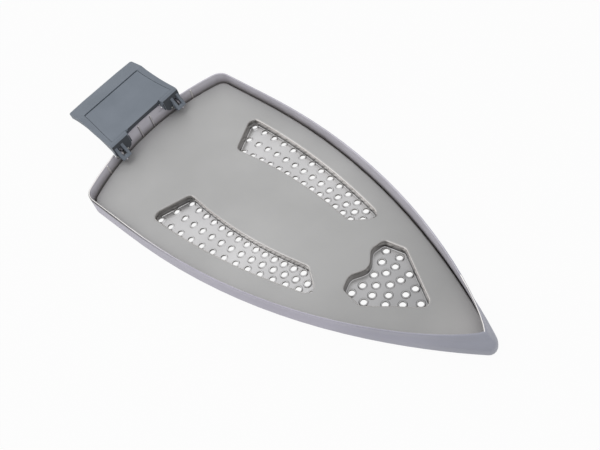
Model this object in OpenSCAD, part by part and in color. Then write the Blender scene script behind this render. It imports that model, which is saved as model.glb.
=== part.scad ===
// Shoe cover for a household iron: a pressed sole tray with an aluminium plate inside
// and a sprung latch lever at the heel. Millimetres. +X runs to the nose, +Z up.
// In this file x is counted from the outside of the heel at the ironing face.

/* [Tray] */
// Length of the ironing face from heel to nose
tray_l = 253.2; // [210:0.2:300]
// Width of the ironing face
tray_w = 121.6; // [100:0.2:140]
// Height of the wall above the table
wall_h = 14.8; // [12.5:0.1:20]
// Thickness of the tray's sheet
sheet_t = 1.0; // [0.8:0.1:1.4]
// Outside radius of the fold between the ironing face and the wall
fold_r = 1.6; // [1.5:0.1:2.5]
// Length of the straight flanks in front of the heel
flank_l = 46.5; // [30:0.5:60]
// Radius of the two heel corners
corner_r = 9; // [6:0.5:14]
// Radius of the bowed heel
heel_r = 150; // [110:5:400]
// Radius of the nose at the ironing face
nose_r = 4; // [3:0.1:6]
// How far the wall is pulled in at the nose
nose_rake = 6.8; // [2:0.1:8]
// How far the wall leans in along the flanks
side_lean = 0.9; // [0:0.1:1.5]

/* [Inner plate] */
// Height of the plateau above the table
plateau_z = 7.0; // [6:0.1:9]
// Thickness of the plate's sheet
plate_t = 0.7; // [0.6:0.1:0.9]
// Radius of the plateau's outer edge
plate_edge_r = 1.4; // [1.2:0.1:2.5]
// Groove between the plate and the wall
groove_w = 0.7; // [0.5:0.1:2]
// Radius of a pocket's mouth
mouth_r = 1.3; // [1:0.1:1.8]
// Radius at the foot of a pocket's wall
foot_r = 0.4; // [0.2:0.1:0.5]

/* [Steam holes] */
// Diameter of a hole in the plate
hole_d = 3.4; // [2.6:0.1:4]
// Diameter of the wider hole under it in the sole
sole_hole_d = 5.2; // [4.6:0.1:5.4]
// Height of the raised collar round a hole
collar_h = 0.6; // [0.3:0.1:1]
// Diameter of the collar at its foot
collar_foot_d = 5.2; // [4.8:0.1:5.6]
// Holes in each row of a side band
row_holes = 14; // [10:1:14]

/* [Latch lever] */
// Reach of the lever's free end behind the heel
lever_reach = 36.7; // [28:0.1:45]
// Half of the lever's width at the hinge
lever_half_w = 28.4; // [28.4:0.1:30]
// Distance of the hinge axis from the heel
hinge_x = 6.8; // [6.4:0.1:7.4]
// Height of the hinge axis
hinge_z = 13; // [12.6:0.1:13.6]
// Thickness of the lever's skin
skin_t = 2.4; // [2.2:0.1:3]
// Distance of an ear's middle from the centre line
ear_y = 24.9; // [24.6:0.1:25.2]
// Thickness of a claw's arm
arm_t = 1.8; // [1.4:0.1:2]
// Diameter of the hinge pins
pin_d = 2.0; // [1.6:0.1:2.2]
// Running clearance round a pin
pin_gap = 0.05; // [0.02:0.01:0.1]
// Clearance round the cover panel
cover_gap = 0.2; // [0.2:0.05:0.5]
// Thickness of the cover panel
cover_t = 1.2; // [1:0.1:1.3]
// Diameter of the spring wire
wire_d = 0.45; // [0.35:0.05:0.5]

/* [Hidden] */

eps = 0.01;
round_fn = 48;
nose_n = 3;
side_n = 20;
corner_n = 5;
heel_n = 6;
belly_pow = 2.17;       // how long the flanks stay full before they taper
blunt_low = 0.97;       // bluntness of the flanks' end at the ironing face
blunt_high = 0.84;      // and at the wall's top edge
taper_shift = 6.9;      // the top edge stays full that much further forward
heel_rake = 1.2;        // the heel wall leans in by this much
nose_half = 32;         // half the angle at which the flanks meet
nose_miter = 0.45;      // what a pointed nose adds to an inset
crease_r = 0.15;        // the crease at the top of the nose
rim_round = 0.3;        // broken edges of the wall's top
origin_x = (tray_l - lever_reach) / 2;

// Half outline of the tray's family of shapes, then the whole closed outline.
function flank_y(x, w, x0, apex, e) =
    x <= x0 ? w : w * pow(max(0, 1 - pow((x - x0) / (apex - x0), belly_pow)), e);
function nose_side(w, tip, x0, e, nr) =
    let (apex = tip + nr * (1 / sin(nose_half) - 1))
    let (tangent = tip - nr * (1 - sin(nose_half)))
    let (half = flank_y(tangent, w, x0, apex, e) / cos(nose_half))
    concat(
        [for (i = [0 : nose_n])
            let (a = (90 - nose_half) * i / nose_n)
            [tip - nr * (1 - cos(a)), half * sin(a)]],
        [for (i = [1 : side_n])
            let (x = tangent - (tangent - x0) * pow(i / side_n, 1.5))
            [x, flank_y(x, w, x0, apex, e)]]);
function half_outline(w, heel, tip, x0, e, nr, r, hr) =
    let (reach = sqrt(pow(hr - r, 2) - pow(w - r, 2)))
    let (cx = heel + hr - reach)
    let (turn = 180 - asin((w - r) / (hr - r)))
    concat(
        nose_side(w, tip, x0, e, nr),
        [for (i = [0 : corner_n])
            let (a = 90 + (turn - 90) * i / corner_n)
            [cx + r * cos(a), w - r + r * sin(a)]],
        [for (i = [1 : heel_n])
            let (a = turn + (180 - turn) * i / heel_n)
            [heel + hr + hr * cos(a), i == heel_n ? 0 : hr * sin(a)]]
    );
function whole(half) =
    concat(half, [for (i = [len(half) - 2 : -1 : 1]) [half[i][0], -half[i][1]]]);

// The wall leans in all the way up. At the nose it stands upright at first, and above
// pull_z it is pulled in to a crease.
pull_z = 0.54 * wall_h;
crease_z = 0.72 * wall_h;
pull_pow = 1.15;
function lean(z) = max(0, (z - fold_r) / (wall_h - fold_r));
function pull(z) = pow(max(0, (z - pull_z) / (wall_h - pull_z)), pull_pow);
function round_at(z) = nose_r * min(1, max(0, (crease_z - z) / (crease_z - pull_z)));
function blunt(z) = blunt_low + (blunt_high - blunt_low) * pull(z);

// Tray outline at a height, moved in by an inset, with more or less of it at the nose.
function inner_outline(z, inset, nose_inset) =
    let (nr = round_at(z) - nose_inset)
    whole(half_outline(
        tray_w / 2 - side_lean * lean(z) - inset, heel_rake * lean(z) + inset,
        tray_l - nose_rake * pull(z) - nose_inset + nose_miter * min(0, nr),
        flank_l + taper_shift * pull(z), blunt(z), max(nr, crease_r),
        corner_r - inset, heel_r - inset));
function tray_outline(z, inset) = inner_outline(z, inset, inset);

// Plate outline: the wall's inner face at the plateau's height, less the groove.
nose_groove = 0.5 * groove_w;
function plate_outline(inset) =
    inner_outline(
        plateau_z, sheet_t + groove_w + inset, sheet_t + nose_groove + inset);

function at_z(pts, z) = [for (p = pts) [p[0], p[1], z]];
function edge_normal(a, b) = [b[1] - a[1], a[0] - b[0]] / norm(b - a);
function grow(poly, d) =
    let (n = len(poly))
    [for (i = [0 : n - 1])
        let (m = edge_normal(poly[(i + n - 1) % n], poly[i]))
        let (k = edge_normal(poly[i], poly[(i + 1) % n]))
        poly[i] + d * (m + k) / (1 + m * k)];

// Closed ring of sheet: the cross-section runs anticlockwise from ring to ring.
module ring_loft(rings) {
    n = len(rings[0]);
    m = len(rings);
    polyhedron(
        points = [for (ring = rings) for (p = ring) p],
        faces = [for (r = [0 : m - 1]) for (i = [0 : n - 1])
            let (s = (r + 1) % m)
            let (j = (i + 1) % n)
            for (f = [[r * n + i, s * n + i, s * n + j], [r * n + i, s * n + j, r * n + j]]) f]
    );
}

// Side bands of holes and their pockets. Arcs bow outwards over the belly.
band_inner = [98.8, 22.9, 275];     // x and y of the crown, radius
band_outer = [58.8, 44.6, 366];
band_rear = [63.4, 53.6];           // x of the inner and outer rear corner
band_front = [152.6, 167.0];        // x of the inner and outer front corner
nose_shift = tray_l - 253.2;        // the front ends follow the tray's nose
width_shift = (tray_w - 121.6) / 2; // the outer arc follows the flank
inner_follow = 0.75;                // and the inner arc follows it by this share
band_l = band_front[0] - band_rear[0];
row_n = 1 + round((row_holes - 1) * (1 + nose_shift / band_l)); // the pitch stays
band_side_n = 12;
pocket_corner_r = 3.5;
row_margin = 2.4;                   // hole centre to the pocket's long sides
rear_margin = 2.6;                  // and to its rear end
front_margin = 3.2;                 // and to its oblique front end
rear_step = 1.0;                    // the row ends follow the slanting rear end
front_step = 1.4;                   // and the oblique front end
crowding = 0.065;                   // the pitch shortens towards the nose
function arc_y(arc, x) = arc[1] - pow(x - arc[0], 2) / (2 * arc[2]);
function inner_y(x) = arc_y(band_inner, x) + inner_follow * width_shift;
function outer_y(x) = arc_y(band_outer, x) + width_shift;
band_corners = [
    [band_front[0] + nose_shift, inner_y(band_front[0] + nose_shift)],
    [band_front[1] + nose_shift, outer_y(band_front[1] + nose_shift)],
    [band_rear[1], outer_y(band_rear[1])],
    [band_rear[0], inner_y(band_rear[0])]
];

// Round corner between two straight runs, as n + 1 points.
function fillet(from, c, to, r, n) =
    let (a = (from - c) / norm(from - c))
    let (b = (to - c) / norm(to - c))
    let (half = acos(a * b) / 2)
    let (centre = c + (a + b) / norm(a + b) * r / sin(half))
    let (start = c + a * r / tan(half) - centre)
    let (turn = (a[0] * b[1] - a[1] * b[0] > 0 ? -1 : 1) * (180 - 2 * half))
    [for (i = [0 : n])
        let (w = turn * i / n)
        centre + [start[0] * cos(w) - start[1] * sin(w), start[0] * sin(w) + start[1] * cos(w)]];

function band_pocket() =
    let (c = band_corners)
    let (step = pocket_corner_r * 1.6)
    let (r = pocket_corner_r)
    let (on_in = [for (x = [c[0][0] - step, c[3][0] + step]) [x, inner_y(x)]])
    let (on_out = [for (x = [c[1][0] - step, c[2][0] + step]) [x, outer_y(x)]])
    concat(
        fillet(on_in[0], c[0], c[1], r * 0.8, 4),
        fillet(c[0], c[1], on_out[0], r, 4),
        [for (i = [1 : band_side_n - 1])
            let (x = on_out[0][0] + (on_out[1][0] - on_out[0][0]) * i / band_side_n)
            [x, outer_y(x)]],
        fillet(on_out[1], c[2], c[3], r, 4),
        fillet(c[2], c[3], on_in[1], r, 4),
        [for (i = [1 : band_side_n - 1])
            let (x = on_in[1][0] + (on_in[0][0] - on_in[1][0]) * i / band_side_n)
            [x, inner_y(x)]]
    );

function between(a, b, t) = a + (b - a) * t;
function row_y(x, k) =
    between(inner_y(x) + row_margin, outer_y(x) - row_margin, k / 2);
function end_x(pair, shift, k) = between(pair[0], pair[1], k / 2) + shift;
function band_holes() =
    [for (k = [0 : 2]) for (i = [0 : row_n - 1])
        let (start = end_x(band_rear, 0, k) + rear_margin + (k - 1) * rear_step)
        let (stop = end_x(band_front, nose_shift, k) - front_margin + (1 - k) * front_step)
        let (t = i / (row_n - 1))
        let (x = start + (stop - start) * (t + crowding * t * (1 - t)))
        [x, row_y(x, k)]];

// Heart pocket near the nose, and its chevrons of holes.
heart_tip = 211.2 + nose_shift;
heart_arm = [[7.1, 5.5], [14.2, 10.5], [23.9, 15.7]];
chevrons = [[0, 1, 3], [9.1, 0.96, 3], [18.7, 0.8, 2], [28.9, 1, 0]]; // set back, scale, arm holes
heart_rim = [
    [heart_tip + 6.4, 0], [heart_tip - 22.7, 19.6], [heart_tip - 35, 17.4],
    [heart_tip - 37.2, 9.6], [heart_tip - 30.6, 0]
];
function mirrored(p) = [p[0], -p[1]];
function heart_pocket() =
    let (c = heart_rim)
    let (half = concat(
        fillet(c[0], c[1], c[2], 3, 4), fillet(c[1], c[2], c[3], 3.2, 4),
        fillet(c[2], c[3], c[4], 5, 5)))
    concat(
        fillet(mirrored(c[1]), c[0], c[1], 3, 6), half,
        fillet(c[3], c[4], mirrored(c[3]), 7, 6),
        [for (i = [len(half) - 1 : -1 : 0]) mirrored(half[i])]
    );
function heart_holes() =
    [for (v = chevrons) for (k = [-v[2] : v[2]])
        let (step = k == 0 ? [0, 0] : heart_arm[abs(k) - 1] * v[1])
        [heart_tip - v[0] - step[0], sign(k) * step[1]]];

function all_holes() =
    concat(band_holes(), [for (p = band_holes()) mirrored(p)], heart_holes());
function pockets() =
    let (band = band_pocket())
    [band, [for (i = [len(band) - 1 : -1 : 0]) mirrored(band[i])], heart_pocket()];

module both_sides() {
    children();
    mirror([0, 1, 0]) children();
}

// Plate lying in the XZ plane, t thick, with its middle at y.
module sideways(y, t) {
    translate([0, y + t / 2, 0])
        rotate([90, 0, 0])
            linear_extrude(height = t) children();
}

// Hinge ears, folded in from the heel wall, and the notches they leave in it.
notch_z = hinge_z - 2.4;
notch_gap = 1.4;        // room beside the lever in the notch
ear_r = pin_d / 2 + 1.6;
ear_t = sheet_t;
claw_reach = 5.0;
toe_t = 1.2;            // lower limb of the ear, the stop under the claw
toe_reach = claw_reach - 0.6;
stop_gap = 0.08;
claw_low = hinge_z - pin_d / 2 - 0.4;
ear_low = claw_low - stop_gap - toe_t;
tab_top = max(wall_h + 0.2, hinge_z + 5.4);
function heel_bow(y) = pow(y, 2) / (2 * heel_r);
ear_root_x = heel_rake + sheet_t / 2 + heel_bow(ear_y);

module ear() {
    sideways(ear_y, ear_t)
        difference() {
            union() {
                translate([hinge_x, hinge_z]) circle(r = ear_r, $fn = round_fn);
                translate([ear_root_x, ear_low])
                    square([hinge_x - ear_root_x, hinge_z + ear_r - ear_low]);
                translate([ear_root_x, ear_low])
                    square([hinge_x + toe_reach - ear_root_x, toe_t]);
            }
            translate([hinge_x, hinge_z]) circle(d = pin_d + 2 * pin_gap, $fn = round_fn);
        }
}

module heel_notch() {
    y0 = ear_y - ear_t / 2;
    translate([0, y0, notch_z])
        cube([hinge_x, lever_half_w + notch_gap - y0, wall_h]);
}

// Upright ribs pressed into the heel wall's inner face, leaning in with it.
rib_r = 0.8;
rib_sunk = 0.3;         // share of the rib's radius that stays in the wall
rib_low = plateau_z - 1;
ribs = [[5.1, tab_top - 2], [37.2, wall_h - 1.6]];      // y and top of each
module heel_ribs() {
    for (rib = ribs)
        translate([heel_rake * lean(rib_low) + sheet_t + heel_bow(rib[0]) - rib_r * rib_sunk,
                   rib[0], rib_low])
            rotate([0, atan(heel_rake / (wall_h - fold_r)), 0]) {
                cylinder(r = rib_r, h = rib[1] - rib_low, $fn = round_fn);
                translate([0, 0, rib[1] - rib_low]) sphere(r = rib_r, $fn = round_fn);
            }
}

wall_n = 6;             // steps of the wall above pull_z
module sole_wall() {
    fold = [for (a = [0 : 30 : 90]) tray_ring(fold_r * (1 - cos(a)), fold_r * (1 - sin(a)))];
    inner_r = fold_r - sheet_t;
    foot = [for (a = [90 : -30 : 0])
        tray_ring(fold_r - inner_r * cos(a), fold_r - inner_r * sin(a))];
    ring_loft(concat(
        fold,
        [for (i = [0 : wall_n]) tray_ring(wall_step(i), 0)],
        [tray_ring(wall_h, rim_round), tray_ring(wall_h, sheet_t - rim_round)],
        [for (i = [wall_n : -1 : 0]) tray_ring(wall_step(i), sheet_t)],
        foot
    ));
}
function tray_ring(z, inset) = at_z(tray_outline(z, inset), z);
function wall_step(i) = between(pull_z, wall_h - rim_round, i / wall_n);

// Between the lever's legs the heel wall stands higher.
tab_side_gap = 0.9;
module heel_tab() {
    root = wall_h - 1;
    corner = min(1.5, (tab_top - root) / 2);
    y1 = leg_in_y - tab_side_gap;
    low = [[y1, root], [-y1, root]];
    top = [[-y1, tab_top], [y1, tab_top]];
    intersection() {
        ring_loft([
            tray_ring(root, 0), tray_ring(tab_top, 0),
            tray_ring(tab_top, sheet_t), tray_ring(root, sheet_t)
        ]);
        rotate([90, 0, 90])
            linear_extrude(height = hinge_x)
                polygon(concat(
                    low, fillet(low[1], top[0], top[1], corner, 4),
                    fillet(top[0], top[1], low[0], corner, 4)));
    }
}

module sole_shell() {
    color("thistle") {
        difference() {
            sole_wall();
            both_sides() heel_notch();
        }
        linear_extrude(height = sheet_t)
            difference() {
                polygon(tray_outline(0, fold_r));
                for (p = all_holes())
                    translate(p) circle(d = sole_hole_d, $fn = round_fn);
            }
        heel_tab();
        both_sides() {
            ear();
            heel_ribs();
        }
    }
}

// Inner plate: skirt and rounded edge, plateau, pockets, floors and raised collars.
skirt_low = fold_r + 0.1;   // the skirt ends just above the tray's fold
pocket_draft = 0.2;
collar_lip = 0.45;      // width of a collar's top
floor_z = sheet_t + plate_t;
module plate_skirt() {
    r = plate_edge_r;
    q = r - plate_t;
    ring_loft(concat(
        [at_z(plate_outline(0), skirt_low)],
        [for (a = [0 : 22.5 : 90])
            at_z(plate_outline(r * (1 - cos(a))), plateau_z - r + r * sin(a))],
        [for (a = [90 : -30 : 0])
            at_z(plate_outline(r - q * cos(a)), plateau_z - r + q * sin(a))],
        [at_z(plate_outline(plate_t), skirt_low)]
    ));
}

module pocket_wall(q) {
    r = mouth_r;
    s = mouth_r - plate_t;
    f = foot_r;
    g = foot_r + plate_t;
    d = pocket_draft;
    ring_loft(concat(
        [for (a = [0 : 30 : 90])
            at_z(grow(q, -d - f + g * sin(a)), sheet_t + g * (1 - cos(a)))],
        [for (a = [0 : 30 : 90])
            at_z(grow(q, r - s * cos(a)), plateau_z - r + s * sin(a))],
        [for (a = [90 : -30 : 0])
            at_z(grow(q, r - r * cos(a)), plateau_z - r + r * sin(a))],
        [for (a = [90 : -30 : 0])
            at_z(grow(q, -d - f + f * sin(a)), floor_z + f * (1 - cos(a)))]
    ));
}

module pocket_floor(q, holes) {
    translate([0, 0, sheet_t])
        linear_extrude(height = plate_t) polygon(grow(q, -pocket_draft - foot_r));
    for (p = holes)
        translate([p[0], p[1], floor_z - eps])
            cylinder(
                d1 = collar_foot_d, d2 = hole_d + 2 * collar_lip, h = collar_h + eps,
                $fn = round_fn);
}

module inner_plate() {
    holes = [band_holes(), [for (p = band_holes()) mirrored(p)], heart_holes()];
    q = pockets();
    color("lightgray")
        difference() {
            union() {
                plate_skirt();
                translate([0, 0, plateau_z - plate_t])
                    linear_extrude(height = plate_t)
                        difference() {
                            polygon(plate_outline(plate_edge_r));
                            for (p = q) polygon(grow(p, mouth_r));
                        }
                for (i = [0 : 2]) {
                    pocket_wall(q[i]);
                    pocket_floor(q[i], holes[i]);
                }
            }
            for (p = all_holes())
                translate([p[0], p[1], 0])
                    cylinder(d = hole_d, h = plateau_z + 1, $fn = round_fn);
        }
}

// Lever: s counts rearwards from the hinge axis.
low_z = hinge_z + 10.2;         // top of the thumb rest at the hinge end
rise = 5.8;                     // it sweeps up by this much to the groove
rest_l = 29.2;                  // length of the thumb rest
lip_z = low_z + rise + 0.2;     // raised end strip
lever_l = lever_reach + hinge_x;
end_t = 3.4;
end_drop = 1.6;
end_bow = 1.6;
rest_n = 10;
function rest_z(s) = low_z + rise * pow(s / rest_l, 2);
function skin_top() = concat(
    [[-0.4, low_z - 1.2], [0.8, low_z - 0.1]],
    [for (i = [1 : rest_n]) let (s = rest_l * i / rest_n) [s, rest_z(s)]],
    [[rest_l + 1.2, lip_z], [lever_l - 1.6, lip_z - end_drop + 0.2],
     [lever_l - 0.5, lip_z - end_drop - 0.3], [lever_l, lip_z - end_drop - 1.2]]
);
function skin_low() = concat(
    [[lever_l, lip_z - end_drop - end_t + 0.7], [lever_l - 0.8, lip_z - end_drop - end_t],
     [rest_l + 4, lip_z - end_t - 0.4]],
    [for (i = [rest_n - 2 : -1 : 1]) let (s = rest_l * i / rest_n) [s, rest_z(s) - skin_t]],
    [[1.4, low_z - skin_t - 0.1], [-0.4, low_z - skin_t - 0.4]]
);
function flip(pts) = [for (p = pts) [hinge_x - p[0], p[1]]];

// Plan of the lever: a bar in front on each side, over the leg, and between them the
// skin's own front edge behind the panel's lip. The free end is bowed.
bar_front = -0.4;
bar_y = 14.8;
bar_end_r = 1.5;
skin_front = 3.3;
plan_taper = 1.2;
plan_corner_r = 1.7;
function lever_side(s) = lever_half_w - plan_taper * min(1, max(0, s - 2) / 24);
function lever_plan() =
    let (end_w = lever_side(lever_l))
    let (back = [lever_l - end_bow, end_w])
    let (half = concat(
        [[skin_front, bar_y]],
        fillet([skin_front, bar_y], [bar_front, bar_y], [bar_front, lever_half_w], bar_end_r, 4),
        [[bar_front, lever_half_w]],
        [for (s = [2, 8, 14, 20, 26]) [s, lever_side(s)]],
        fillet([26, end_w], back, [lever_l - end_bow * 0.35, end_w / 2], plan_corner_r, 5),
        [[lever_l - end_bow * 0.25, end_w / 2], [lever_l, 0]]))
    flip(concat(half, [for (i = [len(half) - 2 : -1 : 0]) mirrored(half[i])]));
module lever_prism() {
    linear_extrude(height = 2 * lip_z) polygon(lever_plan());
}

module across(pts, half_w) {
    sideways(0, 2 * half_w) polygon(flip(pts));
}

// Legs that carry the claws, and the gussets that stiffen them.
leg_t = 1.8;
leg_back = 1.4;                 // the rear face lies this far behind the axis
leg_in_y = 15.5;
leg_low = hinge_z - 0.6;
leg_top = low_z - 1;
leg_corner_r = 4;
gusset_t = 3;
gusset = [
    [1.2, leg_low], [2.6, leg_low + 0.8], [3.6, hinge_z + 3.2], [7.6, hinge_z + 6.3],
    [11.6, hinge_z + 8.4], [16, rest_z(16) - 0.6], [2, low_z - 0.4], [1.2, low_z - 1]
];
module lever_leg() {
    inner_low = [leg_in_y, leg_low];
    intersection() {
        union() {
            translate([hinge_x - leg_back, 0, 0])
                rotate([90, 0, 90])
                    linear_extrude(height = leg_t)
                        polygon(concat(
                            fillet([lever_half_w, leg_low], inner_low, [leg_in_y, leg_top],
                                leg_corner_r, 6),
                            [[leg_in_y, leg_top], [lever_half_w, leg_top],
                             [lever_half_w, leg_low]]
                        ));
            sideways(lever_half_w - gusset_t / 2, gusset_t) polygon(flip(gusset));
        }
        lever_prism();
    }
}

// Torsion spring's size, which sets the room beside the ear.
coil_turns = 2;
coil_pitch = wire_d + 0.04;
spring_gap = 0.1;
spring_room = coil_turns * coil_pitch + wire_d + 2 * spring_gap;

// Claw: two arms either side of the ear and its spring, joined by a bar in front.
ear_side_gap = 0.4;
slot_w = ear_side_gap + ear_t + spring_room;
claw_y = ear_y + ear_t / 2 + ear_side_gap - slot_w / 2;
claw_top = hinge_z + 8.4;
claw_nose = [
    [-claw_reach + 0.6, claw_low], [-claw_reach, claw_low + 0.5],
    [-claw_reach + 0.5, claw_low + 1.8]
];
claw = concat(claw_nose, [[0.6, claw_top], [1.2, claw_top], [1.2, claw_low]]);
bar_rise = 2.2;
bar = concat(claw_nose, [[-claw_reach + 2.0, claw_low + bar_rise], [-claw_reach + 2.4, claw_low]]);
module claw_arms() {
    for (k = [-1, 1])
        sideways(claw_y + k * (slot_w + arm_t) / 2, arm_t) polygon(flip(claw));
    sideways(claw_y, slot_w + 2 * arm_t) polygon(flip(bar));
}

// Dowel pin, pressed into both arms and free to turn in the ear between them.
pin_proud = 0.6;                // it ends this far outside the lever
pin_inboard = 1.9;              // and this far inside the inner arm
pin_in_y = claw_y - slot_w / 2 - arm_t - pin_inboard;
pin_out_y = lever_half_w + pin_proud;
module dowel() {
    translate([hinge_x, pin_out_y, hinge_z])
        rotate([90, 0, 0])
            cylinder(d = pin_d, h = pin_out_y - pin_in_y, $fn = round_fn);
}

// Room for the ear and the spring between a claw's arms.
slot_back = 4;
slot_front = 3.2;
slot_over = 2.2;
module ear_slot() {
    translate([hinge_x - slot_back, claw_y - slot_w / 2, 0])
        cube([slot_back + slot_front, slot_w, hinge_z + ear_r + slot_over]);
}

// The panel lies in a recess that follows the thumb rest, with a groove at its far end.
// Between the bars a lip on it covers the skin's front edge.
panel_inset = 3.0;
panel_taper = 2.6;
panel_front = 2.0;
panel_step = 0.6;               // behind the bars the front edge steps back
end_groove = 0.8;
panel_lip_t = 1.0;
panel_lip_low = low_z - 2.6;
panel_lip_y = bar_y - 2;
function panel_plan(grown, far) =
    let (w = lever_half_w - panel_inset + grown)
    let (far_w = w - panel_taper)
    let (s0 = panel_front - grown)
    let (s1 = rest_l + far)
    let (half = concat(
        [[s0, panel_lip_y], [s0 + panel_step, bar_y], [s0 + panel_step, w]],
        [for (s = [8, 14, 20, 25]) [s, w - panel_taper * min(1, (s - 2) / 24)]],
        fillet([25, far_w], [s1, far_w], [s1, 0], 0.5, 3)))
    flip(concat(half, [for (i = [len(half) - 1 : -1 : 0]) mirrored(half[i])]));
module panel_lip() {
    s1 = panel_front + panel_lip_t;
    top = low_z - cover_t / 2;
    sideways(0, 2 * panel_lip_y)
        polygon(flip([
            [panel_front, panel_lip_low], [panel_front, top], [s1, top],
            [s1, panel_lip_low + 0.3], [s1 - 0.3, panel_lip_low]
        ]));
}

function panel_band(top, low) = concat(
    [[-1, low_z - 0.6 + top], [0.8, low_z + top]],
    [for (i = [1 : rest_n]) let (s = rest_l * i / rest_n) [s, rest_z(s) + top]],
    [[rest_l + 1, rest_z(rest_l) + top], [rest_l + 1, rest_z(rest_l) + low]],
    [for (i = [rest_n : -1 : 1]) let (s = rest_l * i / rest_n) [s, rest_z(s) + low]],
    [[0.8, low_z + low], [-1, low_z - 0.6 + low]]
);

module panel_cut() {
    intersection() {
        across(panel_band(3, -cover_t), lever_half_w);
        linear_extrude(height = 2 * lip_z) polygon(panel_plan(cover_gap, end_groove));
    }
}

module release_lever() {
    color("lightsteelblue")
        difference() {
            union() {
                intersection() {
                    across(concat(skin_top(), skin_low()), lever_half_w + 1);
                    lever_prism();
                }
                both_sides() {
                    lever_leg();
                    claw_arms();
                }
            }
            panel_cut();
            both_sides() {
                ear_slot();
                dowel();
            }
        }
}

module lever_cover() {
    color("slategray")
        union() {
            intersection() {
                across(panel_band(-0.1, -cover_t), lever_half_w);
                linear_extrude(height = 2 * lip_z) polygon(panel_plan(0, 0));
            }
            panel_lip();
        }
}

module hinge_pin_left() {
    color("silver") dowel();
}
module hinge_pin_right() {
    color("silver") mirror([0, 1, 0]) dowel();
}

// Torsion spring, from the hinge axis: one leg lies down the heel wall, the coil leaves
// its top twice round the pin, and the other leg presses on the claw's bar.
coil_gap = 0.2;                 // between the coil and the pin
coil_r = pin_d / 2 + coil_gap + wire_d / 2;
coil_n = 14;                    // points in a turn
wire_sides = 8;
leg_touch = 0.03;               // hair gap where a leg bears
coil_y = ear_y - ear_t / 2 - spring_gap - wire_d / 2;
coil_end_y = coil_y - coil_pitch * coil_turns;
wall_x = heel_rake + sheet_t + heel_bow(coil_y) - hinge_x;
wall_leg_x = wall_x + wire_d / 2 + leg_touch;
bar_leg_z = claw_low + bar_rise - hinge_z + wire_d / 2 + leg_touch;
function coil_path() =
    let (n = coil_n * coil_turns)
    concat(
        [[wall_leg_x, coil_y, -1.8], [wall_leg_x, coil_y, 0.3], [-1.6, coil_y, coil_r - 0.1]],
        [for (i = [0 : n])
            let (a = 90 - 360 * coil_turns * i / n)
            [coil_r * cos(a), coil_y + (coil_end_y - coil_y) * i / n, coil_r * sin(a)]],
        [[2.6, coil_end_y, coil_r - 0.1], [claw_reach - 1.6, coil_end_y, bar_leg_z]]
    );
function unit(v) = v / norm(v);
function tube_ring(path, i, r, sides) =
    let (n = len(path))
    let (t = unit(path[min(i + 1, n - 1)] - path[max(i - 1, 0)]))
    let (side = unit(cross(t, [0, 1, 0])))
    let (up = cross(side, t))
    [for (k = [0 : sides - 1])
        let (a = 360 * k / sides)
        path[i] + r * (cos(a) * side + sin(a) * up)];
module tube(path, r, sides) {
    n = len(path);
    polyhedron(
        points = [for (i = [0 : n - 1]) for (p = tube_ring(path, i, r, sides)) p],
        faces = concat(
            [[for (k = [0 : sides - 1]) k]],
            [[for (k = [sides - 1 : -1 : 0]) (n - 1) * sides + k]],
            [for (i = [0 : n - 2]) for (k = [0 : sides - 1])
                let (j = (k + 1) % sides)
                for (f = [[i * sides + k, (i + 1) * sides + k, (i + 1) * sides + j],
                          [i * sides + k, (i + 1) * sides + j, i * sides + j]]) f]
        )
    );
}
module spring_wire() {
    translate([hinge_x, 0, hinge_z]) tube(coil_path(), wire_d / 2, wire_sides);
}
module latch_spring_left() {
    color("gainsboro") spring_wire();
}
module latch_spring_right() {
    color("gainsboro") mirror([0, 1, 0]) spring_wire();
}

module placed() {
    translate([-origin_x, 0, 0]) children();
}

placed() sole_shell();
placed() inner_plate();
placed() release_lever();
placed() lever_cover();
placed() hinge_pin_left();
placed() hinge_pin_right();
placed() latch_spring_left();
placed() latch_spring_right();
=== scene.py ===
import bpy
import math
from mathutils import Matrix, Vector


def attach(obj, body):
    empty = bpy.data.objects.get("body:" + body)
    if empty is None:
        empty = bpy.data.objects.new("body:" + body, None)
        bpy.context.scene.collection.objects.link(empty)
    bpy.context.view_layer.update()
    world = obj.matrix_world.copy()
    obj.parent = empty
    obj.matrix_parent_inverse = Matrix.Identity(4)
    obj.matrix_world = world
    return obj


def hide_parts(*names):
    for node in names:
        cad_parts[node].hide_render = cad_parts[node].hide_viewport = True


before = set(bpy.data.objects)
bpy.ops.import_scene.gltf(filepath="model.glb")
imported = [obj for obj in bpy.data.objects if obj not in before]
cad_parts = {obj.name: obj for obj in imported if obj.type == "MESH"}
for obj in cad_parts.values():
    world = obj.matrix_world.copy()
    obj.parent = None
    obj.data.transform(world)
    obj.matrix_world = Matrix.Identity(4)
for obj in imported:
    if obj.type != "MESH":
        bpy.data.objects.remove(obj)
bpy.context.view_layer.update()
print("frame loaded")

# camera first, from the photo's own angle

camera = {
    "place": (0.18315, -0.1096, 0.2887),
    "azimuth": 55.476,
    "elevation": 55.592,
    "roll": -18.341,
    "lens": 37.2,          # for a 36 mm sensor
}


def makeCamera(spec):
    az, el, roll = (math.radians(spec[k]) for k in ("azimuth", "elevation", "roll"))
    back = Vector((math.sin(az) * math.cos(el), -math.cos(az) * math.cos(el), math.sin(el)))
    level = Vector((math.cos(az), math.sin(az), 0))
    upright = back.cross(level)
    right = math.cos(roll) * level + math.sin(roll) * upright
    up = math.cos(roll) * upright - math.sin(roll) * level
    turned = Matrix((right, up, back)).transposed().to_4x4()
    bpy.ops.object.camera_add()
    cam = bpy.context.active_object
    cam.name = "photoCamera"
    cam.matrix_world = Matrix.Translation(spec["place"]) @ turned
    cam.data.sensor_width = 36
    cam.data.lens = spec["lens"]
    cam.data.clip_start = 0.01
    bpy.context.scene.camera = cam


makeCamera(camera)
bpy.context.scene.view_settings.view_transform = "Standard"
print("camera placed")

# small helpers for materials


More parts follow.
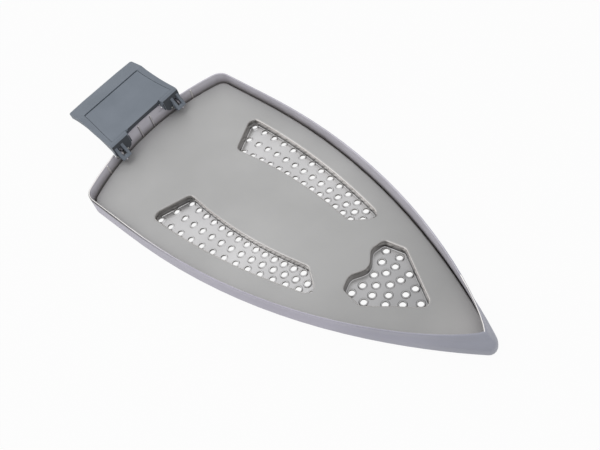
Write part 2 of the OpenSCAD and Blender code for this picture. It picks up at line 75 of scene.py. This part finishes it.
def newMaterial(name):
    mat = bpy.data.materials.new(name)
    mat.use_nodes = True
    return mat, mat.node_tree, mat.node_tree.nodes["Principled BSDF"]


def addNode(tree, kind, **values):
    node = tree.nodes.new(kind)
    for key, value in values.items():
        if hasattr(node, key):
            setattr(node, key, value)
        else:
            node.inputs[key].default_value = value
    return node


def objectNoise(tree, stretch, scale, detail=3.0, roughness=0.5):
    place = addNode(tree, "ShaderNodeTexCoord")
    turn = addNode(tree, "ShaderNodeMapping")
    turn.inputs["Scale"].default_value = stretch
    noise = addNode(tree, "ShaderNodeTexNoise", Scale=scale, Detail=detail, Roughness=roughness)
    tree.links.new(place.outputs["Object"], turn.inputs["Vector"])
    tree.links.new(turn.outputs["Vector"], noise.inputs["Vector"])
    return noise.outputs["Fac"]


def between(tree, factor, low, high):
    span = addNode(tree, "ShaderNodeMapRange")
    span.inputs["To Min"].default_value = low
    span.inputs["To Max"].default_value = high
    tree.links.new(factor, span.inputs["Value"])
    return span.outputs["Result"]


def colourMix(tree, factor, first, second, edges=(0.35, 0.65)):
    ramp = addNode(tree, "ShaderNodeValToRGB")
    ramp.color_ramp.elements[0].position = edges[0]
    ramp.color_ramp.elements[0].color = (*first, 1)
    ramp.color_ramp.elements[1].position = edges[1]
    ramp.color_ramp.elements[1].color = (*second, 1)
    tree.links.new(factor, ramp.inputs["Fac"])
    return ramp.outputs["Color"]


def ramped(tree, vector, axis, low, high):
    split = addNode(tree, "ShaderNodeSeparateXYZ")
    tree.links.new(vector, split.inputs[0])
    span = addNode(tree, "ShaderNodeMapRange")
    span.inputs["From Min"].default_value = low
    span.inputs["From Max"].default_value = high
    tree.links.new(split.outputs[axis], span.inputs["Value"])
    return span.outputs["Result"]


def product(tree, first, second):
    times = addNode(tree, "ShaderNodeMath", operation="MULTIPLY")
    tree.links.new(first, times.inputs[0])
    tree.links.new(second, times.inputs[1])
    return times.outputs[0]


def mixColours(tree, factor, first, second):
    mix = addNode(tree, "ShaderNodeMix", data_type="RGBA")
    tree.links.new(factor, mix.inputs[0])
    tree.links.new(first, mix.inputs[6])      # 6 and 7 are its two colour sockets
    tree.links.new(second, mix.inputs[7])
    return mix.outputs[2]


def addBump(tree, shader, height, strength, distance):
    bump = addNode(tree, "ShaderNodeBump", Strength=strength, Distance=distance)
    tree.links.new(height, bump.inputs["Height"])
    tree.links.new(bump.outputs["Normal"], shader.inputs["Normal"])


# finishes

anodised = {
    "skin": ((0.455, 0.438, 0.512), (0.500, 0.480, 0.560)),
    "nose": ((0.300, 0.312, 0.365), (0.330, 0.342, 0.400)),        # painted shade: bluer and darker at the tip
    "paintedHighlight": ((0.800, 0.780, 0.770), (0.880, 0.860, 0.850)),     # painted highlight, in the colour of bare metal
    # painted shade: the dark line under the near rim, one rib flank and the ears
    "paintedShade": ((0.060, 0.056, 0.062), (0.100, 0.094, 0.100)),
    "crease": ((0.300, 0.285, 0.290), (0.340, 0.325, 0.330)),      # painted shade at the foot of the wall, inside
    # the inside is a painted, shaded copy of the skin, lightening to a painted highlight at its top
    "inner": ((0.430, 0.410, 0.445), (0.480, 0.460, 0.495)),
    "innerTop": ((0.620, 0.600, 0.660), (0.700, 0.680, 0.740)),
    "foot": (0.0071, 0.0080),
    "rise": (0.0088, 0.0122),
    "along": (0.060, 0.150),
    "metallic": 0.3,
    "roughness": (0.36, 0.44),
    "cloudScale": 38,
    "grainScale": 2600,
    "grainDepth": 0.00002,
}


def anodisedFinish(spec):
    mat, tree, shader = newMaterial("lavenderAnodising")
    cloud = objectNoise(tree, (1, 1, 1), spec["cloudScale"])
    grain = objectNoise(tree, (1, 1, 1), spec["grainScale"], 2)
    place = addNode(tree, "ShaderNodeTexCoord").outputs["Object"]
    tone = {name: colourMix(tree, cloud, *spec[name]) for name in (
        "skin", "nose", "paintedHighlight", "paintedShade", "crease", "inner", "innerTop")}
    mark = {name: addNode(tree, "ShaderNodeAttribute", attribute_name=name).outputs["Fac"]
            for name in ("inside", "paintedHighlight", "paintedShade")}
    # painted shade: the skin turns to the darker nose tone along its length
    colour = mixColours(tree, ramped(tree, place, "X", *spec["along"]), tone["skin"], tone["nose"])
    # inside the wall: painted shade at the foot, rising to a painted highlight at the top
    inside = mixColours(tree, ramped(tree, place, "Z", *spec["foot"]), tone["crease"], tone["inner"])
    inside = mixColours(tree, ramped(tree, place, "Z", *spec["rise"]), inside, tone["innerTop"])
    colour = mixColours(tree, mark["inside"], colour, inside)
    # painted highlight on the marked faces, with a metal's gloss
    colour = mixColours(tree, mark["paintedHighlight"], colour, tone["paintedHighlight"])
    # painted shade on the marked faces
    colour = mixColours(tree, mark["paintedShade"], colour, tone["paintedShade"])
    tree.links.new(colour, shader.inputs["Base Color"])
    tree.links.new(between(tree, cloud, *spec["roughness"]), shader.inputs["Roughness"])
    tree.links.new(between(tree, mark["paintedHighlight"], spec["metallic"], 1), shader.inputs["Metallic"])
    addBump(tree, shader, grain, 0.35, spec["grainDepth"])
    return mat


bare = {                                    # each colour is a darker and a lighter cloud
    "sheet": ((0.440, 0.439, 0.437), (0.475, 0.474, 0.472)),
    # painted shade: the nose tones of sheet and pocket are darker, and the tip tone lifts it again
    "sheetNose": ((0.335, 0.334, 0.332), (0.360, 0.359, 0.357)),
    "sheetTip": ((0.440, 0.432, 0.428), (0.480, 0.472, 0.468)),
    "pocket": ((0.545, 0.541, 0.547), (0.640, 0.636, 0.642)),      # brighter in the pockets
    "pocketNose": ((0.305, 0.305, 0.310), (0.360, 0.360, 0.366)),
    "paintedWallShade": ((0.080, 0.076, 0.072), (0.200, 0.188, 0.176)),       # painted shade where it stands upright
    "paintedEdgeHighlight": ((0.820, 0.780, 0.750), (0.940, 0.910, 0.885)),   # and painted highlight on a rounded edge
    "paintedEdgeShade": ((0.240, 0.232, 0.224), (0.320, 0.310, 0.300)),        # painted shade on the edge on the heel's side
    "heelSide": (0.05, 0.30),               # forward share of the normal
    "aboveCollars": (0.0034, 0.0044),
    "along": (0.015, 0.115),                # from the rear tone to the nose tone, a painted shade
    "tip": (0.108, 0.138),
    "wallToEdge": (0.08, 0.36),             # upward share of the normal
    "edgeToFloor": (0.75, 0.95),
    "edgeToSheet": (0.70, 0.95),
    "pocketFoot": 0.0024,
    "pocketMouth": 0.0062,
    "roughness": (0.50, 0.60),
    "gloss": 0.55,                          # roughness off the sheet as a share of the sheet's
    "metallic": (0.9, 0.3),                 # off the sheet, and on its matt face
    "cloudScale": 26,
    "rolling": (60, 3500, 3500),       # fine lines along the sheet's rolling direction
    "lineDepth": 0.000002,
}


def bareFinish(spec):
    mat, tree, shader = newMaterial("bareAluminium")
    cloud = objectNoise(tree, (1, 1, 1), spec["cloudScale"])
    lines = objectNoise(tree, spec["rolling"], 1, 4, 0.6)
    place = addNode(tree, "ShaderNodeTexCoord").outputs["Object"]
    normal = addNode(tree, "ShaderNodeNewGeometry").outputs["Normal"]
    along = ramped(tree, place, "X", *spec["along"])
    height = ramped(tree, place, "Z", spec["pocketFoot"], spec["pocketMouth"])
    onSheet = ramped(tree, normal, "Z", *spec["edgeToSheet"])
    tone = {name: colourMix(tree, cloud, *spec[name]) for name in (
        "sheet", "sheetNose", "sheetTip", "pocket", "pocketNose", "paintedWallShade", "paintedEdgeHighlight", "paintedEdgeShade")}
    pocket = mixColours(tree, along, tone["pocket"], tone["pocketNose"])
    # painted highlight on rounded edges, painted shade where they face forward
    edge = mixColours(
        tree, ramped(tree, normal, "X", *spec["heelSide"]), tone["paintedEdgeHighlight"], tone["paintedEdgeShade"])
    edge = mixColours(tree, ramped(tree, place, "Z", *spec["aboveCollars"]), pocket, edge)
    # painted shade towards the nose, lifted again at the tip
    sheet = mixColours(tree, along, tone["sheet"], tone["sheetNose"])
    sheet = mixColours(tree, ramped(tree, place, "X", *spec["tip"]), sheet, tone["sheetTip"])
    sheet = mixColours(tree, onSheet, edge, sheet)
    # painted shade on upright walls
    upright = ramped(tree, normal, "Z", *spec["wallToEdge"])
    wall = mixColours(tree, upright, tone["paintedWallShade"], edge)
    pocket = mixColours(tree, ramped(tree, normal, "Z", *spec["edgeToFloor"]), wall, pocket)
    tree.links.new(mixColours(tree, height, pocket, sheet), shader.inputs["Base Color"])
    flat = product(tree, height, onSheet)
    matte = product(tree, between(tree, flat, spec["gloss"], 1), between(tree, lines, *spec["roughness"]))
    tree.links.new(matte, shader.inputs["Roughness"])
    tree.links.new(between(tree, flat, *spec["metallic"]), shader.inputs["Metallic"])
    addBump(tree, shader, lines, 0.15, spec["lineDepth"])
    return mat


moulded = {
    "light": (0.180, 0.207, 0.246),
    "deep": (0.160, 0.186, 0.222),
    "recessShade": 0.28,
    "roughness": (0.46, 0.56),
    "cloudScale": 60,
    "grainScale": 1900,
    "grainDepth": 0.00005,
}


def mouldedFinish(name, spec, shade=1.0):
    mat, tree, shader = newMaterial(name)
    cloud = objectNoise(tree, (1, 1, 1), spec["cloudScale"])
    grain = objectNoise(tree, (1, 1, 1), spec["grainScale"], 2)
    skin, recess = (
        colourMix(tree, cloud, *(tuple(part * c for c in spec[k]) for k in ("deep", "light")))
        for part in (shade, shade * spec["recessShade"]))
    # painted shade on the faces marked as recess
    mark = addNode(tree, "ShaderNodeAttribute", attribute_name="recess")
    tree.links.new(mixColours(tree, mark.outputs["Fac"], skin, recess), shader.inputs["Base Color"])
    tree.links.new(between(tree, grain, *spec["roughness"]), shader.inputs["Roughness"])
    addBump(tree, shader, grain, 0.4, spec["grainDepth"])
    return mat


drawnSteel = {"light": (0.26, 0.26, 0.25), "deep": (0.16, 0.16, 0.16), "roughness": (0.2, 0.34)}


def steelFinish(spec):
    mat, tree, shader = newMaterial("drawnSteel")
    marks = objectNoise(tree, (300, 2500, 300), 1, 3)
    tree.links.new(colourMix(tree, marks, spec["deep"], spec["light"]), shader.inputs["Base Color"])
    tree.links.new(between(tree, marks, *spec["roughness"]), shader.inputs["Roughness"])
    shader.inputs["Metallic"].default_value = 1
    addBump(tree, shader, marks, 0.2, 0.00001)
    return mat


finishes = {
    "tray": anodisedFinish(anodised),
    "plate": bareFinish(bare),
    "lever": mouldedFinish("mouldedLever", moulded),
    "cover": mouldedFinish("mouldedCover", moulded, 1.06),
    "steel": steelFinish(drawnSteel),
}
print("finishes made")

# pieces: each is the frame's own form, with its edges broken and its curves smoothed


def edit(piece):
    bpy.ops.object.select_all(action="DESELECT")
    piece.select_set(True)
    bpy.context.view_layer.objects.active = piece
    bpy.ops.object.mode_set(mode="EDIT")
    bpy.ops.mesh.select_mode(type="FACE")
    bpy.ops.mesh.select_all(action="SELECT")


def leaveEdit():
    bpy.ops.mesh.select_all(action="DESELECT")
    bpy.ops.object.mode_set(mode="OBJECT")


def pick(piece, kind, wanted):
    bpy.ops.mesh.select_mode(type=kind)
    bpy.ops.mesh.select_all(action="DESELECT")
    bpy.ops.object.mode_set(mode="OBJECT")
    mesh = piece.data
    parts = {"FACE": mesh.polygons, "EDGE": mesh.edges, "VERT": mesh.vertices}[kind]
    picked = [part for part in parts if wanted(part)]
    for part in picked:
        part.select = True
    bpy.ops.object.mode_set(mode="EDIT")
    print("picked", len(picked), kind, "of", piece.name)


def pullOut(piece, side, wanted, reach):
    edit(piece)
    pick(piece, "FACE", wanted)
    bpy.ops.mesh.extrude_region_move(TRANSFORM_OT_translate={"value": (0, side * reach, 0)})
    leaveEdit()


def refinedCopy(nodeName, spec):
    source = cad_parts[nodeName]
    piece = bpy.data.objects.new(spec["piece"], source.data.copy())
    bpy.context.scene.collection.objects.link(piece)
    edit(piece)
    bpy.ops.mesh.remove_doubles(threshold=0.000002)
    bpy.ops.mesh.dissolve_limited(angle_limit=math.radians(0.2))
    leaveEdit()
    if "shape" in spec:
        spec["shape"](piece, spec)
    if spec["bevel"]:
        bevel = piece.modifiers.new("brokenEdges", "BEVEL")
        bevel.width = spec["bevel"]
        bevel.segments = spec["segments"]
        bevel.limit_method = "ANGLE"
        bevel.angle_limit = math.radians(spec["bevelAngle"])
        bpy.ops.object.modifier_apply(modifier="brokenEdges")
    bpy.ops.object.shade_smooth_by_angle(angle=math.radians(spec["smoothAngle"]))
    weighted = piece.modifiers.new("evenShading", "WEIGHTED_NORMAL")
    weighted.keep_sharp = True
    bpy.ops.object.modifier_apply(modifier="evenShading")
    if "marks" in spec:
        spec["marks"](piece, spec)
    piece.data.materials.clear()
    piece.data.materials.append(finishes[spec["slot"]])
    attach(piece, spec["body"])
    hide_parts(nodeName)
    print(spec["piece"], len(piece.data.polygons), "faces")
    return piece


def easeNose(piece, spec):
    low, high = spec["band"]
    points = piece.data.vertices
    edit(piece)
    pick(piece, "EDGE", lambda edge: sorted(
        round(points[i].co.z, 5) for i in edge.vertices) == [low, high]
        and points[edge.vertices[0]].co.x > spec["noseFrom"])
    bpy.ops.mesh.subdivide(number_cuts=spec["cuts"])
    pick(piece, "VERT", lambda point: spec["easeLow"] < point.co.z < spec["easeHigh"]
         and point.co.x > spec["noseFrom"])
    bpy.ops.mesh.vertices_smooth(factor=0.5, repeat=spec["passes"], zaxis=False)
    leaveEdit()


def shapeTray(piece, spec):
    easeNose(piece, spec)
    edit(piece)
    bpy.ops.mesh.bisect(plane_co=(0, 0, spec["underRim"]), plane_no=(0, 0, 1))
    for cut in range(spec["fadeCuts"]):
        pick(piece, "FACE", lambda face: face.normal.y < -0.5 and face.center.y < 0
             and face.center.z > spec["underRim"])
        across = spec["fadeFrom"] + cut * spec["fadeStep"]
        bpy.ops.mesh.bisect(plane_co=(across, 0, 0), plane_no=(1, 0, 0))
    pick(piece, "FACE", lambda face: face.normal.z > 0.99
         and abs(face.center.z - spec["rimFlat"]) < 0.00005)
    bpy.ops.mesh.quads_convert_to_tris()        # so that marks can fade along the rim
    low, high = spec["tabCorner"]
    pick(piece, "VERT", lambda point: point.co.x < spec["tabFrom"]
         and spec["tabSide"] < abs(point.co.y) < spec["tabSide"] + 0.0017 and low < point.co.z < high)
    bpy.ops.transform.resize(value=(1, 1, 0), center_override=(0, 0, high))
    leaveEdit()
    for side in (-1, 1):
        pullOut(piece, -side, lambda face: side * face.normal.y < -0.99
                and abs(side * face.center.y - spec["notchSide"]) < 0.0002, spec["notchGrowth"])


def markTray(piece, spec):
    names = ("inside", "paintedHighlight", "paintedShade")
    for name in names:
        piece.data.attributes.new(name, "FLOAT", "FACE")
    inside, paintedHighlight, paintedShade = (piece.data.attributes[name].data for name in names)

    def fade(x, first, last):
        return min(1, max(0, (last - x) / (last - first)))

    for face in piece.data.polygons:
        x, y, z = face.center
        outward = face.normal.x * x * 0.3 + face.normal.y * y
        if outward < 0 and z > spec["floorTop"] and face.normal.z < 0.9:
            inside[face.index].value = 1
        # painted highlight on the outer ribs' crests; on the inner ribs, painted highlight on one flank
        # and painted shade on the other
        if x < spec["heelTo"] and face.normal.x > 0 and z > spec["ribLow"]:
            if abs(abs(y) - spec["outerRib"]) < spec["ribHalf"] and face.area < spec["ribFace"]:
                paintedHighlight[face.index].value = 1
            elif abs(abs(y) - spec["innerRib"]) < spec["ribHalf"] and face.area < spec["ribFace"]:
                flank = paintedShade if face.normal.y < -0.25 else paintedHighlight
                flank[face.index].value = spec["ribMark"]
        # painted shade on the ears inside the claws' slots
        if abs(abs(y) - spec["earY"]) < spec["earHalf"] and x < spec["heelTo"] and z > spec["earLow"]:
            paintedShade[face.index].value = spec["earMark"]
        if z < spec["underRim"] or z > spec["rimTop"]:
            continue
        # painted highlight along the near rim, fading forward, and round the tip; painted shade on the
        # near outer wall just under the rim
        if z > spec["rimFrom"] and (face.normal.z > 0.95 or outward < 0):
            bright = fade(x, *spec["brightFade"]) if y < 0 else x > spec["tipFrom"]
            paintedHighlight[face.index].value = bright
        elif outward > 0 and y < 0:
            paintedShade[face.index].value = fade(x, *spec["darkFade"])


pressedTray = {
    "piece": "pressedTray", "slot": "tray", "body": "tray",
    "bevel": 0.00012, "segments": 2, "bevelAngle": 50, "smoothAngle": 40,
    "shape": shapeTray,         # the press leaves no crease where the nose is pulled in
    "band": (0.0016, 0.00799),
    "noseFrom": 0.0,
    "cuts": 5,
    "easeLow": 0.0045,
    "easeHigh": 0.0105,
    "passes": 6,
    "marks": markTray,          # painted highlight along the rim and painted shade just outside it, on the ribs and on the ears
    "floorTop": 0.003,
    "tabFrom": -0.1035,
    "tabSide": 0.0130,
    "tabCorner": (0.0165, 0.0184),
    "heelTo": -0.0985,
    "ribLow": 0.008,
    "ribHalf": 0.0008,
    "innerRib": 0.0051,
    "outerRib": 0.0372,
    "ribFace": 0.0000035,
    "ribMark": 0.7,             # painted highlight on one flank and painted shade on the other
    "earY": 0.0249,
    "earHalf": 0.0012,
    "earLow": 0.0100,
    # painted shade on the ears
    "earMark": 0.7,
    "notchSide": 0.0298,
    "notchGrowth": 0.0009,
    "underRim": 0.0126,
    "rimFrom": 0.01452,
    "rimFlat": 0.0148,
    "rimTop": 0.01485,
    "brightFade": (-0.050, -0.005),
    "darkFade": (-0.065, -0.012),
    "fadeFrom": -0.090,         # cuts across the outer wall's top, over which the painted shade line fades
    "fadeStep": 0.006,
    "fadeCuts": 14,
    "tipFrom": 0.112,
}
refinedCopy("sole_shell", pressedTray)

pressedPlate = {
    "piece": "pressedPlate", "slot": "plate", "body": "tray",
    "bevel": 0.00012, "segments": 2, "bevelAngle": 42, "smoothAngle": 40,
}
refinedCopy("inner_plate", pressedPlate)

# marks faces for painted shade: the legs' fronts, the lip's front and the floor seen in the groove
def markRecess(piece, spec):
    piece.data.attributes.new("recess", "FLOAT", "FACE")
    recess = piece.data.attributes["recess"].data
    low, high = spec["groove"]
    points = piece.data.vertices
    for face in piece.data.polygons:
        x, y, z = face.center
        front = face.normal.x > 0.9 and abs(x - spec["recessX"]) < 0.0003 and z < spec["recessTop"]
        groove = face.normal.z > 0.5 and low < x < high and all(
            abs(points[i].co.y) < spec["grooveHalf"] for i in face.vertices)
        if front or groove:
            recess[face.index].value = 1
    print("recess", sum(mark.value for mark in recess), "faces of", piece.name)


def thickenLegs(piece, spec):
    for side in (-1, 1):
        def rear(face):
            return face.normal.x < -0.99 and abs(face.center.x - spec["legRear"]) < 0.0002 and (
                side * face.center.y > 0)

        def corner(face):
            return rear(face) and face.center.z > spec["blockLow"] and (
                side * face.center.y < spec["blockSide"])

        edit(piece)
        pick(piece, "FACE", rear)
        bpy.ops.mesh.bisect(plane_co=(0, 0, spec["blockLow"]), plane_no=(0, 0, 1))
        pick(piece, "FACE", lambda face: rear(face) and face.center.z > spec["blockLow"])
        bpy.ops.mesh.bisect(plane_co=(0, side * spec["blockSide"], 0), plane_no=(0, 1, 0))
        pick(piece, "FACE", corner)
        bpy.ops.mesh.extrude_region_move(TRANSFORM_OT_translate={"value": (-spec["blockDepth"], 0, 0)})
        leaveEdit()
        pullOut(piece, -side, lambda face: side * face.normal.y < -0.99
                and abs(side * face.center.y - spec["legSide"]) < 0.0003
                and face.area < spec["legFace"], spec["legGrowth"])


latchLever = {
    "piece": "latchLever", "slot": "lever", "body": "latch",
    "bevel": 0.0003, "segments": 3, "bevelAngle": 35, "smoothAngle": 35,
    "shape": thickenLegs,       # the legs' inner corners run back under the panel's lip
    "marks": markRecess,
    "recessX": -0.10105,
    "recessTop": 0.0205,
    "groove": (-0.1313, -0.1050),           # painted shade on the floor under the panel, seen in the groove at its end
    "grooveHalf": 0.0262,
    "legRear": -0.10285,
    "blockLow": 0.0166,
    "blockSide": 0.0175,
    "blockDepth": 0.0026,
    "legSide": 0.0155,
    "legFace": 0.00003,
    "legGrowth": 0.0008,
}
refinedCopy("release_lever", latchLever)

def widenLip(piece, spec):
    for side in (-1, 1):
        pullOut(piece, side, lambda face: side * face.normal.y > 0.99
                and abs(side * face.center.y - spec["lipEnd"]) < 0.0003
                and face.center.z < spec["lipTop"], spec["lipGrowth"])


thumbPanel = {
    "piece": "thumbPanel", "slot": "cover", "body": "latch",
    "bevel": 0.0002, "segments": 2, "bevelAngle": 40, "smoothAngle": 35,
    "shape": widenLip,          # the lip reaches the bars beside it
    "marks": markRecess,
    "recessX": -0.10345,
    "recessTop": 0.0226,
    "groove": (0, 0),
    "grooveHalf": 0,
    "lipEnd": 0.0128,
    "lipTop": 0.0226,
    "lipGrowth": 0.0019,
}
refinedCopy("lever_cover", thumbPanel)

for side in ("left", "right"):
    steelPin = {
        "piece": side + "Pin", "slot": "steel", "body": "latch",
        "bevel": 0.0002, "segments": 3, "bevelAngle": 40, "smoothAngle": 40,
    }
    refinedCopy("hinge_pin_" + side, steelPin)
    steelSpring = {
        "piece": side + "Spring", "slot": "steel", "body": "tray",
        "bevel": 0, "segments": 1, "bevelAngle": 40, "smoothAngle": 60,
    }
    refinedCopy("latch_spring_" + side, steelSpring)
print("pieces finished")

# floor, backdrop light and lamps

studio = {
    "floorSize": 6,
    "floorDrop": 0.0001,
    "floorWhite": 0.62,
    "ownLight": 0.95,           # share of plain white that the camera sees in the floor
    "ambient": 0.70,
}


def whiteForView(tree, shaded, share):
    path = addNode(tree, "ShaderNodeLightPath")
    seen = path.outputs["Is Camera Ray"]
    for ray in ("Is Glossy Ray", "Is Transmission Ray"):
        either = addNode(tree, "ShaderNodeMath", operation="MAXIMUM")
        tree.links.new(seen, either.inputs[0])
        tree.links.new(path.outputs[ray], either.inputs[1])
        seen = either.outputs[0]
    part = addNode(tree, "ShaderNodeMath", operation="MULTIPLY")
    tree.links.new(seen, part.inputs[0])
    part.inputs[1].default_value = share
    white = addNode(tree, "ShaderNodeEmission")
    mix = addNode(tree, "ShaderNodeMixShader")
    tree.links.new(part.outputs[0], mix.inputs[0])
    tree.links.new(shaded, mix.inputs[1])
    tree.links.new(white.outputs[0], mix.inputs[2])
    return mix.outputs[0]


def makeFloor(spec):
    bpy.ops.object.select_all(action="DESELECT")
    bpy.ops.mesh.primitive_plane_add(size=spec["floorSize"], location=(0, 0, -spec["floorDrop"]))
    floor = bpy.context.active_object
    floor.name = "floor"
    mat = bpy.data.materials.new("paleFloor")
    mat.use_nodes = True
    tree = mat.node_tree
    tree.nodes.remove(tree.nodes["Principled BSDF"])
    matte = addNode(tree, "ShaderNodeBsdfDiffuse")
    matte.inputs["Color"].default_value = (spec["floorWhite"],) * 3 + (1,)
    surface = whiteForView(tree, matte.outputs[0], spec["ownLight"])
    tree.links.new(surface, tree.nodes["Material Output"].inputs["Surface"])
    floor.data.materials.append(mat)


def makeWorld(spec):
    world = bpy.data.worlds.new("softRoom")
    bpy.context.scene.world = world
    world.use_nodes = True
    tree = world.node_tree
    room = tree.nodes["Background"]
    room.inputs["Color"].default_value = (1, 1, 1, 1)
    room.inputs["Strength"].default_value = spec["ambient"]
    surface = whiteForView(tree, room.outputs[0], 1)
    tree.links.new(surface, tree.nodes["World Output"].inputs["Surface"])


lamps = [
    {"name": "rearKey", "place": (-0.25, -0.32, 1.05), "size": 0.7, "power": 2.4},
    {"name": "frontFill", "place": (0.55, 0.20, 0.80), "size": 0.7, "power": 0.4},
]


def makeLamp(spec):
    bpy.ops.object.light_add(type="AREA", location=spec["place"])
    lamp = bpy.context.active_object
    lamp.name = spec["name"]
    lamp.data.size = spec["size"]
    lamp.data.energy = spec["power"]
    lamp.rotation_euler = Vector(spec["place"]).to_track_quat("Z", "Y").to_euler()


makeFloor(studio)
makeWorld(studio)
for lamp in lamps:
    makeLamp(lamp)
print("studio lit")
